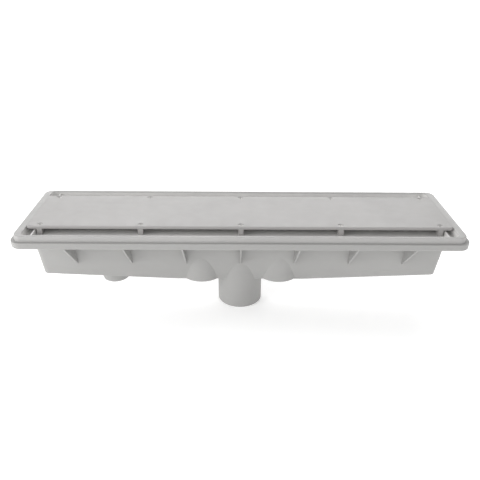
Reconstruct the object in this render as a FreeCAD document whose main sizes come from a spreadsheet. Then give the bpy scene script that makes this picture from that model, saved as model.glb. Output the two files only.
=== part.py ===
# Channel drain with a perimeter slot, for a pool or pond floor.
#
# Frame: millimetres, +Z up, +X along the channel, +Y across it. The origin is
# the centre of the outlet socket's open end, which is the lowest point, so the
# drain stands on its outlet. All heights below are above that plane.
#
# One moulded sump (trough, flange, gussets, outlet socket, relief port), one
# moulded frame lying in the sump's rebate, one moulded cover on ten legs, and
# the fasteners that hold them together.
import FreeCAD, Part
import Sketcher
import math
import os

V = FreeCAD.Vector
os.makedirs("parts", exist_ok=True)
doc = FreeCAD.newDocument("channel_drain")

# ---------------------------------------------------------------- dimensions
SIZES = [
    # levels above the outlet end
    ("lip_level", 193.0), ("plate_level", 196.4), ("plate_thick", 5.5),
    ("ledge_level", 178.5), ("seat_level", 175.5), ("flange_level", 182.0),
    ("flange_foot", 170.0), ("flange_skin", 172.0),
    ("floor_mid", 61.0), ("floor_end", 74.5), ("floor_flat", 125.0),
    # outlines, as half lengths and half widths, with corner radii
    ("lip_len", 406.5), ("lip_wid", 104.0), ("lip_wall", 5.5),
    ("foot_len", 407.5), ("foot_wid", 105.0), ("foot_corner", 16.0),
    ("band_draft", -5.1), ("wall_draft", -9.0),
    ("rebate_len", 407.6), ("rebate_wid", 105.1), ("rebate_corner", 16.1),
    ("flange_len", 413.5), ("flange_wid", 111.0), ("flange_corner", 22.0),
    ("mouth_len", 383.0), ("mouth_wid", 47.0), ("mouth_corner", 8.0),
    ("well_len", 393.0), ("inner_corner", 10.0), ("ledge_fillet", 4.0), ("lip_fillet", 1.8),
    ("core_in", 394.6), ("core_out", 403.8), ("core_wid", 92.0), ("core_roof", 190.2),
    # trough
    ("trough_top", 173.0), ("trough_len_top", 390.0), ("trough_wid_top", 60.5),
    ("trough_len_low", 387.7), ("trough_wid_low", 34.2),
    ("trough_corner", 9.0), ("trough_round", 4.0), ("skin", 3.3), ("cavity_top", 176.5),
    ("cavity_wid_top", 58.1), ("cavity_len_top", 386.8),
    # outlet, flow bulges, relief port
    ("pipe_rad", 44.5), ("pipe_top", 104.0), ("socket_rad", 36.6),
    ("socket_deep", 46.0), ("throat_rad", 33.0), ("throat_skin", 41.2),
    ("bulge_x", 77.0), ("bulge_rad", 47.0), ("bulge_top", 128.0),
    ("edge_round", 3.0), ("foot_draft", -42.0), ("flange_round", 1.2),
    ("mouth_chamfer", 1.5),
    ("port_x", 254.0), ("port_rad", 26.5), ("port_foot", 48.0),
    ("port_bore", 23.3), ("port_seat", 74.0), ("port_seat_rad", 31.0),
    # gussets
    ("gusset_pitch", 105.5), ("gusset_thick", 3.0), ("gusset_wid", 107.0),
    ("gusset_low", 101.0), ("gusset_toe", 167.0),
    # cover
    ("plate_len", 391.5), ("plate_wid", 70.0), ("plate_corner", 7.0),
    ("plate_round", 2.4), ("leg_half", 4.7), ("leg_in", 56.5),
    ("leg_face", 70.0), ("leg_top", 194.4),
    ("rib_thick", 3.0), ("rib_foot", 182.5), ("long_rib_foot", 184.5),
    ("long_rib_y", 28.0), ("long_rib_len", 380.0),
    # cover screws and their inserts
    ("screw_pitch", 184.15), ("screw_y", 61.2), ("screw_clear", 2.3),
    ("sink_dia", 11.06), ("sink_angle", 90.0),
    ("head_rad", 3.9), ("shank_rad", 2.1), ("screw_len", 30.7),
    ("head_drop", 1.5), ("recess_half", 0.6), ("recess_reach", 2.1),
    ("recess_deep", 1.8),
    ("insert_rad", 3.5), ("insert_bore", 2.115), ("insert_len", 9.5),
    ("insert_hole", 12.0), ("boss_rad", 6.5), ("boss_foot", 160.0),
    # frame screws
    ("fix_y", 80.0), ("fix_clear", 2.2), ("fix_sink", 8.6),
    ("fix_head", 4.0), ("fix_shank", 2.0), ("fix_len", 14.0),
    ("fix_boss", 5.0), ("fix_boss_foot", 160.5), ("fix_pilot", 2.0),
    ("fix_hole", 13.0),
    # corner ribs of the frame
    ("corner_rib_x", 377.0), ("corner_rib_half", 1.2), ("corner_rib_top", 188.0),
    ("corner_rib_out", 97.0),
    # relief port plug and its ring
    ("plug_rad", 23.2), ("plug_foot", 54.0), ("plug_hollow", 19.2),
    ("plug_head", 30.5), ("plug_under", 74.8), ("plug_top", 81.0),
    ("plug_key", 9.0), ("plug_key_top", 90.0), ("ring_rad", 26.8),
    ("ring_sect", 1.5), ("groove_half", 1.6), ("groove_roof", 77.0),
]
sheet = doc.addObject("Spreadsheet::Sheet", "sizes")
for i, (name, value) in enumerate(SIZES, start=1):
    sheet.set("A%d" % i, name)
    sheet.set("B%d" % i, repr(value))
    sheet.setAlias("B%d" % i, name)
doc.recompute()
D = {name: value for name, value in SIZES}


def ex(text):
    """An expression on the sheet: words that are sizes get the sheet's name."""
    out, word = "", ""
    for ch in text + " ":
        if ch.isalnum() or ch == "_":
            word += ch
            continue
        out += ("sizes." + word) if word in D else word
        word = ""
        out += ch
    return out.strip()


def val(text):
    """The same expression worked out here, for a sketch's first positions."""
    total = 0.0
    for term in text.replace("-", "+-").split("+"):
        if not term.strip():
            continue
        prod = 1.0
        for f in term.split("*"):
            f = f.strip()
            sign = 1.0
            if f.startswith("-"):
                sign, f = -1.0, f[1:].strip()
            prod *= sign * (D[f] if f in D else float(f))
        total += prod
    return total


# ------------------------------------------------------------------- helpers
def body(label):
    b = doc.addObject("PartDesign::Body", label)
    b.Label = label
    return b


def plane(b, role):
    for f in b.Origin.OriginFeatures:
        if f.Role == role:
            return f
    raise RuntimeError("no " + role)


def sketch(b, name, role="XY_Plane", lift=None, side=None):
    """A sketch on one of the body's own planes, lifted along its normal."""
    s = b.newObject("Sketcher::SketchObject", name)
    s.AttachmentSupport = (plane(b, role), [""])
    s.MapMode = "FlatFace"
    if lift is not None:
        s.setExpression("AttachmentOffset.Base.z", ex(lift))
    return s


def name_bind(s, index, name, text):
    s.renameConstraint(index, name)
    s.setExpression("Constraints." + name, ex(text))


def rounded(s, hx, hy, r, tag=""):
    """A rounded rectangle centred on the sketch's origin."""
    a, c, q = val(hx), val(hy), val(r)
    n = s.GeometryCount
    L, A = Part.LineSegment, Part.ArcOfCircle
    z = V(0, 0, 1)
    def arc(x, y, a0):
        return A(Part.Circle(V(x, y, 0), z, q), math.radians(a0), math.radians(a0 + 90))
    s.addGeometry([
        L(V(-a + q, -c, 0), V(a - q, -c, 0)), arc(a - q, -c + q, 270),
        L(V(a, -c + q, 0), V(a, c - q, 0)), arc(a - q, c - q, 0),
        L(V(a - q, c, 0), V(-a + q, c, 0)), arc(-a + q, c - q, 90),
        L(V(-a, c - q, 0), V(-a, -c + q, 0)), arc(-a + q, -c + q, 180)], False)
    C = Sketcher.Constraint
    for i in range(8):
        s.addConstraint(C("Tangent", n + i, 2, n + (i + 1) % 8, 1))
    s.addConstraint([C("Horizontal", n), C("Vertical", n + 2),
                     C("Horizontal", n + 4), C("Vertical", n + 6),
                     C("Equal", n + 1, n + 3), C("Equal", n + 3, n + 5),
                     C("Equal", n + 5, n + 7)])
    name_bind(s, s.addConstraint(C("Radius", n + 1, q)), "corner" + tag, r)
    name_bind(s, s.addConstraint(C("DistanceX", -1, 1, n + 2, 1, a)), "east" + tag, hx)
    name_bind(s, s.addConstraint(C("DistanceX", n + 6, 1, -1, 1, a)), "west" + tag, hx)
    name_bind(s, s.addConstraint(C("DistanceY", -1, 1, n + 4, 1, c)), "north" + tag, hy)
    name_bind(s, s.addConstraint(C("DistanceY", n, 1, -1, 1, c)), "south" + tag, hy)


def disc(s, r, cx="0", cy="0", tag=""):
    x, y = val(cx), val(cy)
    n = s.GeometryCount
    s.addGeometry(Part.Circle(V(x, y, 0), V(0, 0, 1), val(r)), False)
    C = Sketcher.Constraint
    name_bind(s, s.addConstraint(C("Radius", n, val(r))), "size" + tag, r)
    for axis, v, text in (("X", x, cx), ("Y", y, cy)):
        if abs(v) < 1e-9:
            s.addConstraint(C("PointOnObject", n, 3, -2 if axis == "X" else -1))
        elif v > 0:
            name_bind(s, s.addConstraint(C("Distance" + axis, -1, 1, n, 3, v)), "c" + axis + tag, text)
        else:
            name_bind(s, s.addConstraint(C("Distance" + axis, n, 3, -1, 1, -v)), "c" + axis + tag, "0-(" + text + ")")


def poly(s, pts, tag=""):
    """A closed outline; each point is a pair of expressions."""
    n = s.GeometryCount
    xy = [(val(x), val(y)) for x, y in pts]
    m = len(xy)
    s.addGeometry([Part.LineSegment(V(*xy[i], 0), V(*xy[(i + 1) % m], 0)) for i in range(m)], False)
    C = Sketcher.Constraint
    for i in range(m):
        s.addConstraint(C("Coincident", n + i, 2, n + (i + 1) % m, 1))
    for i, (x, y) in enumerate(pts):
        for axis, v, text in (("X", xy[i][0], x), ("Y", xy[i][1], y)):
            if abs(v) < 1e-9:
                s.addConstraint(C("PointOnObject", n + i, 1, -2 if axis == "X" else -1))
            elif v > 0:
                name_bind(s, s.addConstraint(C("Distance" + axis, -1, 1, n + i, 1, v)), "p%s%d%s" % (axis, i, tag), text)
            else:
                name_bind(s, s.addConstraint(C("Distance" + axis, n + i, 1, -1, 1, -v)), "p%s%d%s" % (axis, i, tag), "0-(" + text + ")")


def box_outline(s, x0, x1, y0, y1, tag=""):
    poly(s, [(x0, y0), (x1, y0), (x1, y1), (x0, y1)], tag)


def pad(b, s, length, down=False, mid=False, taper=None, kind="Pad"):
    f = b.newObject("PartDesign::" + kind, s.Name + "_" + kind.lower())
    f.Profile = s
    f.setExpression("Length", ex(length))
    if mid:
        f.SideType = "Symmetric"
    f.Reversed = down
    if taper:
        f.setExpression("TaperAngle", ex(taper))
    s.Visibility = False
    b.Tip = f
    before = None
    if kind == "Pocket":
        before = f.BaseFeature.Shape.Volume if f.BaseFeature else None
    doc.recompute()
    if before is not None and not f.Shape.Volume < before - 1e-3:
        raise RuntimeError(f.Name + " removed nothing")
    return f


def pocket(b, s, length, up=False, mid=False, taper=None):
    return pad(b, s, length, down=up, mid=mid, taper=taper, kind="Pocket")


def through(b, s):
    f = b.newObject("PartDesign::Pocket", s.Name + "_through")
    f.Profile = s
    f.Type = "ThroughAll"
    f.SideType = "Symmetric"
    b.Tip = f
    before = f.BaseFeature.Shape.Volume
    doc.recompute()
    if not f.Shape.Volume < before - 1e-3:
        raise RuntimeError(f.Name + " removed nothing")
    return f


def grid(b, features, nx, lx, ny=1, ly="0"):
    """Repeats features nx times along +X over lx, and ny times along +Y over ly."""
    p = b.newObject("PartDesign::LinearPattern", features[-1].Name + "_grid")
    p.Originals = features
    p.Direction = (plane(b, "X_Axis"), [""])
    p.setExpression("Length", ex(lx))
    p.Occurrences = nx
    if ny > 1:
        p.Direction2 = (plane(b, "Y_Axis"), [""])
        p.setExpression("Length2", ex(ly))
        p.Occurrences2 = ny
    b.Tip = p
    doc.recompute()
    return p


def edges_where(feature, test):
    out = []
    for i, e in enumerate(feature.Shape.Edges, start=1):
        if test(e):
            out.append("Edge%d" % i)
    return out


def dress(b, base, names, size, kind="Fillet"):
    f = b.newObject("PartDesign::" + kind, base.Name + "_" + kind.lower())
    f.Base = (base, names)
    f.setExpression("Radius" if kind == "Fillet" else "Size", ex(size))
    b.Tip = f
    doc.recompute()
    return f


def level(e, z, tol=0.02):
    return all(abs(v.Z - z) < tol for v in e.Vertexes)


def reach_x(e):
    return max(abs(e.BoundBox.XMin), abs(e.BoundBox.XMax))


def reach_y(e):
    return max(abs(e.BoundBox.YMin), abs(e.BoundBox.YMax))


def hole(b, s, dia, cut=None, angle=None):
    """A through hole under a sketch of circles, countersunk if cut is given."""
    doc.recompute()
    f = b.newObject("PartDesign::Hole", s.Name + "_hole")
    f.Profile = s
    f.DepthType = "ThroughAll"
    f.setExpression("Diameter", ex(dia))
    if cut:
        f.HoleCutType = "Countersink"
        f.HoleCutCustomValues = True
        f.setExpression("HoleCutDiameter", ex(cut))
        f.setExpression("HoleCutCountersinkAngle", ex(angle))
    b.Tip = f
    before = f.BaseFeature.Shape.Volume
    doc.recompute()
    if not f.Shape.Volume < before - 1e-3:
        raise RuntimeError(f.Name + " removed nothing")
    return f


# ----------------------------------------------------------------- trough form
def trough_form(b, tag, top, len_top, wid_top, low, len_low, wid_low, corner, lift, bulge, bulge_top, throat, throat_top):
    """A drafted trough with rounded corners, whose floor falls to the middle,
    with a round bulge each side of the outlet and the outlet's own round."""
    s1 = sketch(b, tag + "_top", lift=top)
    rounded(s1, len_top, wid_top, corner)
    s2 = sketch(b, tag + "_low", lift=low)
    rounded(s2, len_low, wid_low, corner)
    f = b.newObject("PartDesign::AdditiveLoft", tag + "_loft")
    f.Profile = s1
    f.Sections = [(s2, [""])]
    f.Ruled = True
    b.Tip = f
    doc.recompute()
    # what lies below the sloping floor, on each side of the flat middle
    for side in ("", "-1*"):
        w = sketch(b, tag + ("_fall_east" if side == "" else "_fall_west"), "XZ_Plane")
        poly(w, [(side + "floor_flat", lift + "+floor_mid"), (side + "len_out", lift + "+floor_end"),
                 (side + "len_out", lift + "+floor_mid-20"), (side + "floor_flat", lift + "+floor_mid-20")])
        f = through(b, w)
    if lift == "none":
        # the outside of the floor is rounded into the walls all round
        rim = edges_where(f, lambda e: e.BoundBox.ZMax < D["floor_end"] + 2 and not (
            e.BoundBox.XLength < 0.05 and reach_x(e) < D["floor_flat"] + 5))
        f = dress(b, f, rim, "trough_round")
    for side, nm in (("", "east"), ("-1*", "west")):
        c = sketch(b, tag + "_bulge_" + nm, lift=low + "+edge_round")
        disc(c, bulge, side + "bulge_x")
        pad(b, c, bulge_top + "-edge_round-" + low.replace("+", "-"))
        c = sketch(b, tag + "_bulge_foot_" + nm, lift=low + "+edge_round")
        disc(c, bulge, side + "bulge_x")
        pad(b, c, "edge_round", down=True, taper="foot_draft")
    return f


D["len_out"] = 392.0
sheet.set("A%d" % (len(SIZES) + 1), "len_out")
sheet.set("B%d" % (len(SIZES) + 1), "392.0")
sheet.setAlias("B%d" % (len(SIZES) + 1), "len_out")
D["none"] = 0.0
sheet.set("A%d" % (len(SIZES) + 2), "none")
sheet.set("B%d" % (len(SIZES) + 2), "0.0")
sheet.setAlias("B%d" % (len(SIZES) + 2), "none")
doc.recompute()

# ================================================================= sump_body
sump = body("sump_body")
s = sketch(sump, "flange_outline", lift="flange_foot")
rounded(s, "flange_len", "flange_wid", "flange_corner")
pad(sump, s, "flange_level-flange_foot")
s = sketch(sump, "rebate", lift="flange_level")
rounded(s, "rebate_len", "rebate_wid", "rebate_corner")
pocket(sump, s, "flange_level-seat_level")
s = sketch(sump, "flange_under", lift="flange_foot")
rounded(s, "rebate_len", "rebate_wid", "rebate_corner")
pocket(sump, s, "flange_skin-flange_foot", up=True)

trough_form(sump, "trough", "trough_top", "trough_len_top", "trough_wid_top",
            "floor_mid", "trough_len_low", "trough_wid_low", "trough_corner",
            "none", "bulge_rad", "bulge_top", "pipe_rad", "pipe_top")

s = sketch(sump, "outlet_outline")
disc(s, "pipe_rad")
pad(sump, s, "pipe_top")
s = sketch(sump, "port_outline", lift="port_foot")
disc(s, "port_rad", "-1*port_x")
pad(sump, s, "floor_end+6-port_foot")

# a row of triangular gussets on both long sides
s = sketch(sump, "gusset", "YZ_Plane", lift="-3*gusset_pitch")
poly(s, [("-1*gusset_wid", "flange_skin+1"), ("-1*gusset_wid", "gusset_toe"),
         ("-43", "gusset_low"), ("43", "gusset_low"),
         ("gusset_wid", "gusset_toe"), ("gusset_wid", "flange_skin+1")])
g = pad(sump, s, "gusset_thick", mid=True)
grid(sump, [g], 7, "6*gusset_pitch")

# the hollow of the trough, as a tool of its own
tool = body("trough_hollow")
trough_form(tool, "hollow", "cavity_top", "cavity_len_top", "cavity_wid_top",
            "floor_mid+skin", "trough_len_low-skin", "trough_wid_low-skin", "trough_corner-3",
            "skin", "bulge_rad-skin", "bulge_top", "throat_skin", "pipe_top")
s = sketch(tool, "throat_round", lift="floor_mid+skin")
disc(s, "throat_skin")
pad(tool, s, "pipe_top-floor_mid-skin")

cut = sump.newObject("PartDesign::Boolean", "hollow_out")
cut.Type = "Cut"
cut.setObjects([tool])
sump.Tip = cut
doc.recompute()

# screw bosses under the flange, blind holes for the inserts
s = sketch(sump, "insert_boss", lift="boss_foot")
disc(s, "boss_rad", "-2*screw_pitch", "-1*screw_y")
f = pad(sump, s, "seat_level-boss_foot")
grid(sump, [f], 5, "4*screw_pitch", 2, "2*screw_y")
s = sketch(sump, "insert_hole", lift="seat_level")
disc(s, "insert_rad", "-2*screw_pitch", "-1*screw_y")
f = pocket(sump, s, "insert_hole")
grid(sump, [f], 5, "4*screw_pitch", 2, "2*screw_y")
s = sketch(sump, "fix_boss", lift="fix_boss_foot")
disc(s, "fix_boss", "-1.5*screw_pitch", "-1*fix_y")
f = pad(sump, s, "seat_level-fix_boss_foot")
grid(sump, [f], 4, "3*screw_pitch", 2, "2*fix_y")
s = sketch(sump, "fix_hole", lift="seat_level")
disc(s, "fix_pilot", "-1.5*screw_pitch", "-1*fix_y")
f = pocket(sump, s, "fix_hole")
grid(sump, [f], 4, "3*screw_pitch", 2, "2*fix_y")

# outlet socket: pipe bore up to its stop, then the throat
s = sketch(sump, "socket_bore")
disc(s, "socket_rad")
pocket(sump, s, "socket_deep", up=True)
s = sketch(sump, "throat")
disc(s, "throat_rad")
pocket(sump, s, "floor_mid+skin+2", up=True)

# relief port: a flat seat inside the trough and a bore right through
s = sketch(sump, "port_seat_pad", lift="port_seat-7")
disc(s, "port_seat_rad", "-1*port_x")
pad(sump, s, "7")
s = sketch(sump, "port_bore_hole", lift="port_foot")
disc(s, "port_bore", "-1*port_x")
last = pocket(sump, s, "port_seat-port_foot+3", up=True)


def ring_at(feature, z, radius):
    """The round edges of one radius lying at one level."""
    return edges_where(feature, lambda e: level(e, z) and hasattr(e.Curve, "Radius")
                       and abs(e.Curve.Radius - radius) < 0.05)


last = dress(sump, last, ring_at(last, D["port_foot"], D["port_rad"]), "edge_round*0.8")
last = dress(sump, last, ring_at(last, 0.0, D["pipe_rad"]), "mouth_chamfer*0.5", "Chamfer")
last = dress(sump, last, ring_at(last, 0.0, D["socket_rad"]), "mouth_chamfer", "Chamfer")
outer = edges_where(last, lambda e: (level(e, D["flange_level"]) or level(e, D["flange_foot"]))
                    and (reach_x(e) > D["flange_len"] - 0.1 or reach_y(e) > D["flange_wid"] - 0.1))
last = dress(sump, last, outer, "flange_round")

# ================================================================ mud_frame
frame = body("mud_frame")
s = sketch(frame, "frame_foot", lift="seat_level")
rounded(s, "foot_len", "foot_wid", "foot_corner")
pad(frame, s, "flange_level-seat_level")
s = sketch(frame, "frame_band", lift="flange_level")
rounded(s, "foot_len", "foot_wid", "foot_corner")
pad(frame, s, "lip_level-flange_level", taper="band_draft")
s = sketch(frame, "frame_well", lift="lip_level")
rounded(s, "well_len", "lip_wid-lip_wall", "inner_corner")
f = pocket(frame, s, "lip_level-ledge_level", taper="wall_draft")
s = sketch(frame, "frame_mouth", lift="ledge_level")
rounded(s, "mouth_len", "mouth_wid", "mouth_corner")
last = pocket(frame, s, "ledge_level-seat_level")
edges = edges_where(last, lambda e: level(e, D["ledge_level"]) and (reach_x(e) > 386 or reach_y(e) > 90)
                    and reach_y(e) > 60)
last = dress(frame, last, edges, "ledge_fillet")
edges = edges_where(last, lambda e: level(e, D["lip_level"]))
last = dress(frame, last, edges, "lip_fillet")
# the wide ends of the frame are cored out from below
for side, nm in (("", "east"), ("-1*", "west")):
    s = sketch(frame, "end_core_" + nm, lift="seat_level")
    if side == "":
        box_outline(s, "core_in", "core_out", "-1*core_wid", "core_wid")
    else:
        box_outline(s, "-1*core_out", "-1*core_in", "-1*core_wid", "core_wid")
    pocket(frame, s, "core_roof-seat_level", up=True)
s = sketch(frame, "corner_rib", lift="ledge_level-0.5")
box_outline(s, "-1*corner_rib_x-corner_rib_half", "-1*corner_rib_x+corner_rib_half",
            "-1*corner_rib_out", "-1*mouth_wid")
f1 = pad(frame, s, "corner_rib_top-ledge_level+0.5")
s = sketch(frame, "corner_rib_back", lift="ledge_level-0.5")
box_outline(s, "-1*corner_rib_x-corner_rib_half", "-1*corner_rib_x+corner_rib_half",
            "mouth_wid", "corner_rib_out")
f2 = pad(frame, s, "corner_rib_top-ledge_level+0.5")
grid(frame, [f1, f2], 2, "2*corner_rib_x")
s = sketch(frame, "frame_screw_clear", lift="ledge_level")
disc(s, "screw_clear", "-2*screw_pitch", "-1*screw_y")
f = pocket(frame, s, "ledge_level-seat_level+1")
grid(frame, [f], 5, "4*screw_pitch", 2, "2*screw_y")
s = sketch(frame, "frame_fix_holes", lift="ledge_level")
for i in range(4):
    for j, sg in enumerate(("-1*", "")):
        disc(s, "fix_clear", "%s*screw_pitch" % (-1.5 + i), sg + "fix_y", tag="_%d%d" % (i, j))
hole(frame, s, "2*fix_clear", "fix_sink", "sink_angle")

# ============================================================== cover_plate
cover = body("cover_plate")
s = sketch(cover, "plate_outline", lift="plate_level-plate_thick")
rounded(s, "plate_len", "plate_wid", "plate_corner")
last = pad(cover, s, "plate_thick")
edges = edges_where(last, lambda e: level(e, D["plate_level"]))
last = dress(cover, last, edges, "plate_round")
s = sketch(cover, "leg_front", lift="ledge_level")
box_outline(s, "-2*screw_pitch-leg_half", "-2*screw_pitch+leg_half", "-1*leg_face", "-1*leg_in")
f1 = pad(cover, s, "leg_top-ledge_level")
s = sketch(cover, "leg_back", lift="ledge_level")
box_outline(s, "-2*screw_pitch-leg_half", "-2*screw_pitch+leg_half", "leg_in", "leg_face")
f2 = pad(cover, s, "leg_top-ledge_level")
s = sketch(cover, "cross_rib", lift="rib_foot")
box_outline(s, "-2*screw_pitch-1.5", "-2*screw_pitch+1.5", "-1*leg_in-1", "leg_in+1")
f3 = pad(cover, s, "plate_level-2-rib_foot")
grid(cover, [f1, f2, f3], 5, "4*screw_pitch")
s = sketch(cover, "long_rib", lift="long_rib_foot")
box_outline(s, "-1*long_rib_len", "long_rib_len", "-1*long_rib_y-1.5", "-1*long_rib_y+1.5")
f = pad(cover, s, "plate_level-2-long_rib_foot")
p = cover.newObject("PartDesign::LinearPattern", "long_ribs")
p.Originals = [f]
p.Direction = (plane(cover, "Y_Axis"), [""])
p.setExpression("Length", ex("2*long_rib_y"))
p.Occurrences = 2
cover.Tip = p
doc.recompute()
s = sketch(cover, "cover_holes", lift="plate_level")
for i in range(5):
    for j, sg in enumerate(("-1*", "")):
        disc(s, "screw_clear", "%d*screw_pitch" % (i - 2), sg + "screw_y", tag="_%d%d" % (i, j))
hole(cover, s, "2*screw_clear", "sink_dia", "sink_angle")


# ============================================================ the fasteners
def turned(b, name, pts):
    """A solid turned about the body's own Z axis from a half section."""
    s = sketch(b, name, "XZ_Plane")
    poly(s, pts)
    f = b.newObject("PartDesign::Revolution", name + "_turned")
    f.Profile = s
    f.ReferenceAxis = (plane(b, "Z_Axis"), [""])
    f.Angle = 360
    b.Tip = f
    doc.recompute()
    return f


def seat(b, x, y, z):
    b.setExpression("Placement.Base.x", ex(x))
    b.setExpression("Placement.Base.y", ex(y))
    b.setExpression("Placement.Base.z", ex(z))


def flat_screw(label, head, shank, length, reach, half, deep):
    b = body(label)
    f = turned(b, label + "_profile", [
        ("0", "0"), (head, "0"), (head, "-0.1"), (shank, shank + "-0.1-" + head),
        (shank, "-1*" + length + "+0.8"), (shank + "-0.8", "-1*" + length), ("0", "-1*" + length)])
    s = sketch(b, label + "_cross_a")
    box_outline(s, "-1*" + reach, reach, "-1*" + half, half)
    p1 = pocket(b, s, deep)
    s = sketch(b, label + "_cross_b")
    box_outline(s, "-1*" + half, half, "-1*" + reach, reach)
    p2 = pocket(b, s, deep)
    return b, [f, p1, p2]


b, fs = flat_screw("cover_screws", "head_rad", "shank_rad", "screw_len", "recess_reach", "recess_half", "recess_deep")
grid(b, fs, 5, "4*screw_pitch", 2, "2*screw_y")
seat(b, "-2*screw_pitch", "-1*screw_y", "plate_level-head_drop")
screws = b
b, fs = flat_screw("frame_screws", "fix_head", "fix_shank", "fix_len", "recess_reach*0.8", "recess_half*0.8", "recess_deep*0.7")
grid(b, fs, 4, "3*screw_pitch", 2, "2*fix_y")
seat(b, "-1.5*screw_pitch", "-1*fix_y", "ledge_level-0.15")
fixes = b

inserts = body("threaded_inserts")
f = turned(inserts, "insert_profile", [
    ("insert_bore", "0"), ("insert_rad", "0"), ("insert_rad", "-1*insert_len"),
    ("insert_bore", "-1*insert_len")])
grid(inserts, [f], 5, "4*screw_pitch", 2, "2*screw_y")
seat(inserts, "-2*screw_pitch", "-1*screw_y", "seat_level")

# relief port plug: hollow threaded barrel, flanged head with a ring groove,
# square key on top
plug = body("relief_port_plug")
turned(plug, "plug_profile", [
    ("0", "plug_under"), ("plug_hollow", "plug_under"), ("plug_hollow", "plug_foot"),
    ("plug_rad", "plug_foot"), ("plug_rad", "plug_under"),
    ("ring_rad-groove_half", "plug_under"), ("ring_rad-groove_half", "groove_roof"),
    ("ring_rad+groove_half", "groove_roof"), ("ring_rad+groove_half", "plug_under"),
    ("plug_head", "plug_under"), ("plug_head", "plug_top"), ("0", "plug_top")])
s = sketch(plug, "plug_key_outline", lift="plug_top-0.5")
box_outline(s, "-1*plug_key", "plug_key", "-1*plug_key", "plug_key")
pad(plug, s, "plug_key_top-plug_top+0.5")
seat(plug, "-1*port_x", "0", "0")

ring = doc.addObject("Part::Torus", "relief_port_oring")
ring.Label = "relief_port_oring"
ring.setExpression("Radius1", ex("ring_rad"))
ring.setExpression("Radius2", ex("ring_sect"))
ring.setExpression("Placement.Base.x", ex("-1*port_x"))
ring.setExpression("Placement.Base.z", ex("port_seat+ring_sect"))

doc.recompute()

# ------------------------------------------------------------------- output
bad = [o.Name for o in doc.Objects if any(k in o.State for k in ("Invalid", "Error"))]
if bad:
    raise RuntimeError("failed objects: " + ", ".join(bad))
NODES = [sump, frame, cover, screws, inserts, fixes, plug, ring]
SOLIDS = {"cover_screws": 10, "threaded_inserts": 10, "frame_screws": 8}
for o in NODES:
    shape = o.Shape
    want = SOLIDS.get(o.Label, 1)
    if shape.isNull() or not shape.isValid() or len(shape.Solids) != want:
        raise RuntimeError("%s: null %s valid %s solids %d" % (o.Label, shape.isNull(), shape.isValid(), len(shape.Solids)))
for o in NODES:
    shape = o.Shape
    if len(shape.Solids) == 1:
        shape = shape.Solids[0]
    else:
        shape = Part.makeCompound(shape.Solids)
    shape.exportStep("parts/%s.step" % o.Label)
    bb = shape.BoundBox
    print("%-20s %2d solid(s) %10.1f mm3  X %.1f..%.1f Y %.1f..%.1f Z %.1f..%.1f" % (
        o.Label, len(shape.Solids), shape.Volume, bb.XMin, bb.XMax, bb.YMin, bb.YMax, bb.ZMin, bb.ZMax))
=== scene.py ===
import math

import bpy
from mathutils import Matrix, Vector


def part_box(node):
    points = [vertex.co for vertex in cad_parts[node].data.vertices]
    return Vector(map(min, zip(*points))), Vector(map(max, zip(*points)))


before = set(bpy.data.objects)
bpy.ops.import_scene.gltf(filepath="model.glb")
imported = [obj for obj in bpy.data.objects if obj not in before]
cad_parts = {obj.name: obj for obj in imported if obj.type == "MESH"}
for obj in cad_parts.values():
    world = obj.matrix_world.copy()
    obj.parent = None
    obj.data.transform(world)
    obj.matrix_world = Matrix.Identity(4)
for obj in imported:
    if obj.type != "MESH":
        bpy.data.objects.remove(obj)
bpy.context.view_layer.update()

scene = bpy.context.scene


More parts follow.
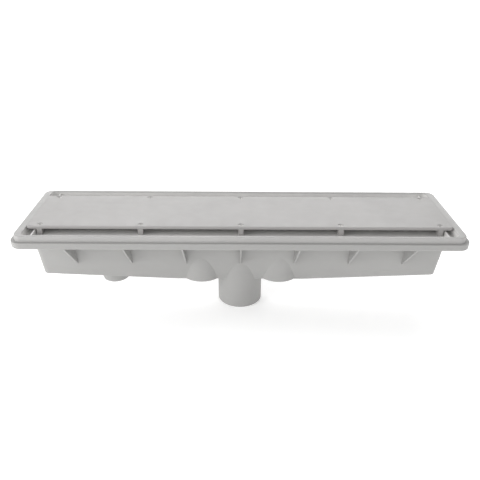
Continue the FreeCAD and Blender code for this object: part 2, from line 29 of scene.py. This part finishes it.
# ------------------------------------------------------------------ materials
class Nodes:
    """Short ways to wire one node material."""

    def __init__(self, name):
        self.mat = bpy.data.materials.new(name)
        self.mat.use_nodes = True
        self.tree = self.mat.node_tree
        self.tree.nodes.clear()
        self.out = self.add("ShaderNodeOutputMaterial")
        self.bsdf = self.add("ShaderNodeBsdfPrincipled")
        self.link(self.bsdf.outputs["BSDF"], self.out.inputs["Surface"])
        self.coord = self.add("ShaderNodeTexCoord")

    def add(self, kind, **props):
        n = self.tree.nodes.new(kind)
        for k, v in props.items():
            setattr(n, k, v)
        return n

    def link(self, a, b):
        self.tree.links.new(a, b)

    def put(self, value, socket):
        if hasattr(value, "links"):
            self.link(value, socket)
        else:
            socket.default_value = value

    def place(self, scale=(1, 1, 1), offset=(0, 0, 0)):
        m = self.add("ShaderNodeMapping")
        m.inputs["Scale"].default_value = scale
        m.inputs["Location"].default_value = offset
        self.link(self.coord.outputs["Object"], m.inputs["Vector"])
        return m.outputs["Vector"]

    def noise(self, scale, detail=3.0, rough=0.5, stretch=(1, 1, 1), offset=(0, 0, 0), warp=0.0):
        n = self.add("ShaderNodeTexNoise", noise_dimensions="3D")
        n.inputs["Scale"].default_value = scale
        n.inputs["Detail"].default_value = detail
        n.inputs["Roughness"].default_value = rough
        n.inputs["Distortion"].default_value = warp
        self.link(self.place(stretch, offset), n.inputs["Vector"])
        return n.outputs["Fac"]

    def math(self, op, a, b=0.0, c=0.0, clamp=False):
        n = self.add("ShaderNodeMath", operation=op, use_clamp=clamp)
        for v, s in zip((a, b, c), n.inputs):
            self.put(v, s)
        return n.outputs["Value"]

    def span(self, value, lo, hi, to_lo, to_hi):
        n = self.add("ShaderNodeMapRange")
        n.clamp = True
        self.put(value, n.inputs["Value"])
        for k, v in (("From Min", lo), ("From Max", hi), ("To Min", to_lo), ("To Max", to_hi)):
            n.inputs[k].default_value = v
        return n.outputs["Result"]

    def mix(self, fac, a, b, blend="MIX"):
        n = self.add("ShaderNodeMix", data_type="RGBA", blend_type=blend)
        self.put(fac, n.inputs[0])
        for v, s in ((a, n.inputs[6]), (b, n.inputs[7])):
            if isinstance(v, tuple) and len(v) == 3:
                v = v + (1.0,)
            self.put(v, s)
        return n.outputs[2]

    def xyz(self):
        n = self.add("ShaderNodeSeparateXYZ")
        self.link(self.coord.outputs["Object"], n.inputs["Vector"])
        return n.outputs["X"], n.outputs["Y"], n.outputs["Z"]

    def bump(self, height, distance, strength=1.0, under=None):
        n = self.add("ShaderNodeBump")
        n.inputs["Strength"].default_value = strength
        n.inputs["Distance"].default_value = distance
        self.link(height, n.inputs["Height"])
        if under is not None:
            self.link(under, n.inputs["Normal"])
        return n.outputs["Normal"]

    def principled(self, **sockets):
        for k, v in sockets.items():
            self.put(v, self.bsdf.inputs[k.replace("_", " ")])


def plastic(name, colour, rough=(0.42, 0.56), grain=0.00004, peel=0.00006, flow=1.0, marks=None, shift=0.0, painted_shading_zone=None):
    """Light moulded plastic: faint flow streaks and mottling, a fine spark-eroded
    grain, a soft long-wave unevenness, scuffs that change the gloss."""
    n = Nodes(name)
    off = (shift, shift * 0.7, -shift)
    light = tuple(min(1.0, c * 1.035) for c in colour)
    dark = tuple(c * 0.955 for c in colour)
    cloud = n.span(n.noise(5.0, 4.0, 0.55, offset=off, warp=0.4), 0.32, 0.68, 0.0, 1.0)
    base = n.mix(cloud, dark + (1.0,), light + (1.0,))
    streak = n.span(n.noise(9.0, 5.0, 0.6, (1.0, 9.0, 7.0), off), 0.42, 0.75, 0.0, 0.05 * flow)
    base = n.mix(streak, base, tuple(c * 0.86 for c in colour) + (1.0,))
    speck = n.span(n.noise(420.0, 2.0, 0.6, offset=off), 0.66, 0.78, 0.0, 0.10)
    base = n.mix(speck, base, tuple(c * 0.72 for c in colour) + (1.0,))
    scuff = n.span(n.noise(38.0, 6.0, 0.65, (1.0, 3.2, 2.0), off, 0.6), 0.52, 0.74, 0.0, 1.0)
    base = n.mix(n.math("MULTIPLY", scuff, 0.04), base, (0.60, 0.59, 0.58, 1.0))
    # painted light and shade: a masked zone whose colour is scaled by gain, above 1 for painted light, below 1 for
    # painted shade
    if painted_shading_zone is not None:
        where, gain = painted_shading_zone
        base = n.mix(where(n), base, tuple(min(1.0, c * gain) for c in colour) + (1.0,))
    rg = n.span(n.noise(55.0, 5.0, 0.6, offset=off), 0.3, 0.7, rough[0], rough[1])
    rg = n.math("MULTIPLY_ADD", scuff, 0.06, rg, clamp=True)
    long_wave = n.noise(14.0, 2.0, 0.5, offset=off)
    normal = n.bump(long_wave, peel * 8)
    fine = n.noise(1500.0, 3.0, 0.55, offset=off)
    normal = n.bump(fine, grain, 1.0, normal)
    if marks is not None:
        normal = n.bump(marks(n), 0.00012, 1.0, normal)
    n.principled(Base_Color=base, Roughness=rg, Normal=normal)
    n.bsdf.inputs["IOR"].default_value = 1.50
    n.bsdf.inputs["Specular IOR Level"].default_value = 0.42
    return n.mat


def folded(n, value, pitch):
    """Distance from the nearest multiple of pitch."""
    a = n.math("ABSOLUTE", value)
    b = n.math("MODULO", n.math("ADD", a, pitch / 2), pitch)
    return n.math("ABSOLUTE", n.math("SUBTRACT", b, pitch / 2))


screw_lo, screw_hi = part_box("cover_screws")
head_r = 0.0039
pitch = (screw_hi.x - screw_lo.x - 2 * head_r) / 4
screw_y = screw_hi.y - head_r
fix_lo, fix_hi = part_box("frame_screws")
fix_y = fix_hi.y - 0.004


def sink_marks(n):
    """The faint dips that show on the plate's top over the ribs and legs beneath it."""
    x, y, z = n.xyz()
    across = n.span(folded(n, x, pitch), 0.0, 0.006, 1.0, 0.0)
    along = n.span(n.math("ABSOLUTE", n.math("SUBTRACT", n.math("ABSOLUTE", y), 0.028)), 0.0, 0.005, 1.0, 0.0)
    both = n.math("MAXIMUM", across, along)
    return n.math("MULTIPLY", both, -0.35)


def parting_line(n):
    """The line around the trough where the mould's halves met, just under the flange."""
    x, y, z = n.xyz()
    d = n.math("ABSOLUTE", n.math("SUBTRACT", z, 0.1690))
    return n.span(d, 0.0, 0.0004, 1.0, 0.0)


def painted_slot_light(n):
    """Painted light: the frame's sheltered inside, below the lip, made paler than its outside in soft patches, to lift
    the shade in the slot.
    """
    x, y, z = n.xyz()
    beyond = n.math("MAXIMUM", n.math("SUBTRACT", n.math("ABSOLUTE", x), 0.3930), n.math("SUBTRACT", n.math("ABSOLUTE", y), 0.0984))
    inside = n.span(beyond, -0.0006, 0.0004, 1.0, 0.0)
    low = n.span(z, 0.1905, 0.1926, 1.0, 0.0)
    painted_light_patches = n.span(n.noise(22.0, 4.0, 0.6, offset=(1.7, 0.4, 2.2)), 0.3, 0.7, 0.82, 1.0)
    return n.math("MULTIPLY", n.math("MULTIPLY", inside, low), painted_light_patches)


def painted_flange_shade(n):
    """Painted shade: the trough's flange, from just under its top upward, made a shade darker than its walls to tone
    down the light it catches.
    """
    x, y, z = n.xyz()
    return n.span(z, 0.1714, 0.1722, 0.0, 1.0)


def turned_metal(name, colour, rough, x_pitch, x_shift, y_at, rings=5200.0):
    """Bright turned metal with rings about each screw's own axis."""
    n = Nodes(name)
    x, y, z = n.xyz()
    lx = folded(n, n.math("ADD", x, x_shift), x_pitch)
    ly = n.math("SUBTRACT", n.math("ABSOLUTE", y), y_at)
    r = n.math("SQRT", n.math("ADD", n.math("MULTIPLY", lx, lx), n.math("MULTIPLY", ly, ly)))
    ring = n.math("SINE", n.math("MULTIPLY", r, rings))
    tone = n.span(n.noise(700.0, 4.0, 0.6), 0.3, 0.7, 0.0, 1.0)
    base = n.mix(tone, tuple(c * 0.86 for c in colour) + (1.0,), tuple(min(1.0, c * 1.08) for c in colour) + (1.0,))
    rg = n.span(n.noise(300.0, 4.0, 0.6), 0.3, 0.7, rough[0], rough[1])
    normal = n.bump(ring, 0.00001, 0.6)
    normal = n.bump(n.noise(2600.0, 3.0), 0.00001, 0.6, normal)
    n.principled(Base_Color=base, Roughness=rg, Normal=normal)
    n.bsdf.inputs["Metallic"].default_value = 1.0
    return n.mat


def rubber(name):
    n = Nodes(name)
    tone = n.span(n.noise(180.0, 4.0, 0.6), 0.3, 0.7, 0.0, 1.0)
    base = n.mix(tone, (0.022, 0.022, 0.024, 1.0), (0.045, 0.044, 0.045, 1.0))
    rg = n.span(n.noise(260.0, 4.0), 0.3, 0.7, 0.45, 0.62)
    normal = n.bump(n.noise(1800.0, 3.0), 0.00002)
    n.principled(Base_Color=base, Roughness=rg, Normal=normal)
    return n.mat


def floor_material():
    n = Nodes("pale_floor")
    tone = n.span(n.noise(1.3, 4.0, 0.5), 0.3, 0.7, 0.0, 1.0)
    base = n.mix(tone, (0.920, 0.920, 0.920, 1.0), (0.940, 0.940, 0.940, 1.0))
    rg = n.span(n.noise(30.0, 3.0), 0.3, 0.7, 0.80, 0.92)
    normal = n.bump(n.noise(240.0, 3.0), 0.0001)
    n.principled(Base_Color=base, Roughness=rg, Normal=normal)
    n.bsdf.inputs["Specular IOR Level"].default_value = 0.15
    n.bsdf.inputs["Emission Color"].default_value = (1.0, 1.0, 1.0, 1.0)
    x, y, z = n.xyz()
    far = n.math("SQRT", n.math("ADD", n.math("MULTIPLY", x, x), n.math("MULTIPLY", y, y)))
    n.put(n.span(far, 0.5, 2.0, 0.27, 0.78), n.bsdf.inputs["Emission Strength"])
    return n.mat


def dress(node, mat):
    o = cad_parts[node]
    o.data.materials.clear()
    o.data.materials.append(mat)
    for p in o.data.polygons:
        p.material_index = 0


# painted shade darkens the trough's flange
dress("sump_body", plastic("sump_plastic_mat", (0.333, 0.330, 0.323), painted_shading_zone=(painted_flange_shade, 0.91), marks=parting_line))
# painted light brightens the frame's inside around the slot
dress("mud_frame", plastic("frame_plastic_mat", (0.368, 0.363, 0.357), rough=(0.38, 0.52), shift=3.1, painted_shading_zone=(painted_slot_light, 1.9)))
dress("cover_plate", plastic("cover_plastic_mat", (0.347, 0.339, 0.334), rough=(0.44, 0.58), marks=sink_marks, shift=7.7))
dress("relief_port_plug", plastic("plug_plastic_mat", (0.333, 0.330, 0.323), shift=11.3))
dress("cover_screws", turned_metal("cover_screw_mat", (0.36, 0.355, 0.345), (0.34, 0.46), pitch, 0.0, screw_y))
dress("frame_screws", turned_metal("frame_screw_mat", (0.36, 0.355, 0.345), (0.34, 0.46), pitch, pitch / 2, fix_y))
dress("threaded_inserts", turned_metal("insert_brass_mat", (0.78, 0.57, 0.27), (0.28, 0.42), pitch, 0.0, screw_y))
dress("relief_port_oring", rubber("ring_rubber_mat"))

# ------------------------------------------------------------------ stage
bpy.ops.mesh.primitive_plane_add(size=30.0, location=(0, 0, 0))
floor = bpy.context.active_object
floor.name = "stage_floor"
floor.data.materials.append(floor_material())

world = bpy.data.worlds.new("studio")
scene.world = world
world.use_nodes = True
wt = world.node_tree
wt.nodes.clear()
w_out = wt.nodes.new("ShaderNodeOutputWorld")
w_bg = wt.nodes.new("ShaderNodeBackground")
w_bg.inputs["Color"].default_value = (1.0, 1.0, 1.0, 1.0)
w_bg.inputs["Strength"].default_value = 0.48
wt.links.new(w_bg.outputs["Background"], w_out.inputs["Surface"])


def soft_light(name, at, to, size, watts, colour=(1, 1, 1)):
    data = bpy.data.lights.new(name, "AREA")
    data.shape = "RECTANGLE"
    data.size, data.size_y = size
    data.energy = watts
    data.color = colour
    o = bpy.data.objects.new(name, data)
    scene.collection.objects.link(o)
    o.location = at
    o.rotation_euler = (Vector(to) - Vector(at)).to_track_quat("-Z", "Y").to_euler()
    return o


soft_light("top_soft", (-0.4, 0.3, 2.2), (0.0, 0.0, 0.19), (2.6, 1.8), 17.0)
soft_light("front_soft", (-0.05, -1.75, 0.80), (0.0, 0.0, 0.15), (2.0, 0.9), 8.0)
soft_light("left_soft", (-2.0, -0.9, 0.75), (0.0, 0.0, 0.15), (1.3, 1.3), 28.5)
soft_light("right_soft", (2.0, -0.9, 0.75), (0.0, 0.0, 0.15), (1.3, 1.3), 5.0)
soft_light("back_soft", (0.0, 1.9, 1.4), (0.0, 0.0, 0.19), (2.8, 1.0), 33.0)

# ------------------------------------------------------------------ camera
F_PX, PITCH, YAW, ROLL = 533.78, 0.49289, -0.01381, 0.01102
EYE = Vector((-0.01364, -0.93954, 0.193 + 0.44329))
cy, sy = math.cos(YAW), math.sin(YAW)
ahead_flat = Vector((-sy, cy, 0.0))
right0 = Vector((cy, sy, 0.0))
ahead = ahead_flat * math.cos(PITCH) - Vector((0, 0, 1)) * math.sin(PITCH)
up0 = ahead_flat * math.sin(PITCH) + Vector((0, 0, 1)) * math.cos(PITCH)
right = right0 * math.cos(ROLL) + up0 * math.sin(ROLL)
up = up0 * math.cos(ROLL) - right0 * math.sin(ROLL)
cam_data = bpy.data.cameras.new("cam")
cam_data.sensor_fit = "HORIZONTAL"
cam_data.sensor_width = 36.0
cam_data.lens = F_PX / 480.0 * 36.0
cam_data.clip_start = 0.02
cam_data.clip_end = 60.0
cam = bpy.data.objects.new("cam", cam_data)
scene.collection.objects.link(cam)
m = Matrix.Identity(4)
for i in range(3):
    m[i][0], m[i][1], m[i][2], m[i][3] = right[i], up[i], -ahead[i], EYE[i]
cam.matrix_world = m
scene.camera = cam
scene.view_settings.view_transform = "Standard"
scene.view_settings.look = "None"
